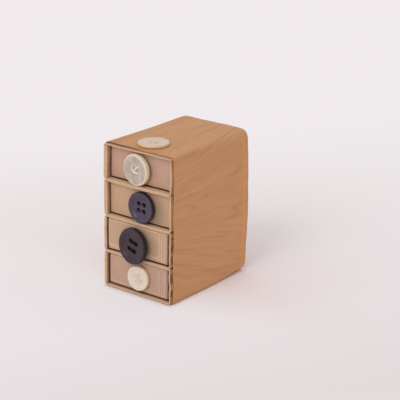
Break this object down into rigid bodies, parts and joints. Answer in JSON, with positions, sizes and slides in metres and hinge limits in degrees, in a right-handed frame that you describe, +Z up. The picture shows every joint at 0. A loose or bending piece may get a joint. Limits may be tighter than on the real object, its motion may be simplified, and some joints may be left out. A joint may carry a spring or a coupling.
{
  "type": "miniature chest of drawers",
  "caption": "Small notions chest made of stacked matchboxes wrapped in wood-grain film, with card trays that slide out by sewn-on button pulls.",
  "frame": {"origin": "middle of the underside, on the surface that the chest stands on", "axes": "+Z up, -Y towards the drawer fronts, +X to the right as seen from the front"},
  "size_m": [0.0384, 0.0603, 0.0694],
  "materials": {
    "wood_grain_film": "printed wood grain, satin",
    "sleeve_card": "bare card edge",
    "striker_paper": "rough brown striking strip",
    "tray_card": "smooth pinkish tan card",
    "pearl_button": "pearly grey white",
    "navy_button": "polished dark blue",
    "charcoal_button": "satin charcoal",
    "cream_button": "cream white",
    "white_button": "cream white, thin",
    "white_thread": "twisted cotton",
    "dark_thread": "twisted cotton",
    "glue": "clear glue, dried"
  },
  "bodies": {
    "case": {"wrapper": "wood_grain_film", "back_sheet": "wood_grain_film", "sleeve_1": "sleeve_card", "striker_strips_1": "striker_paper", "sleeve_2": "sleeve_card", "striker_strips_2": "striker_paper", "sleeve_3": "sleeve_card", "striker_strips_3": "striker_paper", "sleeve_4": "sleeve_card", "striker_strips_4": "striker_paper", "top_button": "white_button", "top_button_glue": "glue"},
    "drawer_1": {"tray_1": "tray_card", "button_1": "pearl_button", "thread_1": "white_thread"},
    "drawer_2": {"tray_2": "tray_card", "button_2": "navy_button", "thread_2": "dark_thread"},
    "drawer_3": {"tray_3": "tray_card", "button_3": "charcoal_button", "thread_3": "dark_thread"},
    "drawer_4": {"tray_4": "tray_card", "button_4": "cream_button", "thread_4": "white_thread"}
  },
  "joints": [
    {"name": "drawer_1_slide", "type": "slide", "parent": "case", "child": "drawer_1", "axis": [0, -1, 0], "range_m": [0, 0.043]},
    {"name": "drawer_2_slide", "type": "slide", "parent": "case", "child": "drawer_2", "axis": [0, -1, 0], "range_m": [-0.0006, 0.043]},
    {"name": "drawer_3_slide", "type": "slide", "parent": "case", "child": "drawer_3", "axis": [0, -1, 0], "range_m": [-0.0004, 0.043]},
    {"name": "drawer_4_slide", "type": "slide", "parent": "case", "child": "drawer_4", "axis": [0, -1, 0], "range_m": [-0.001, 0.043]}
  ]
}
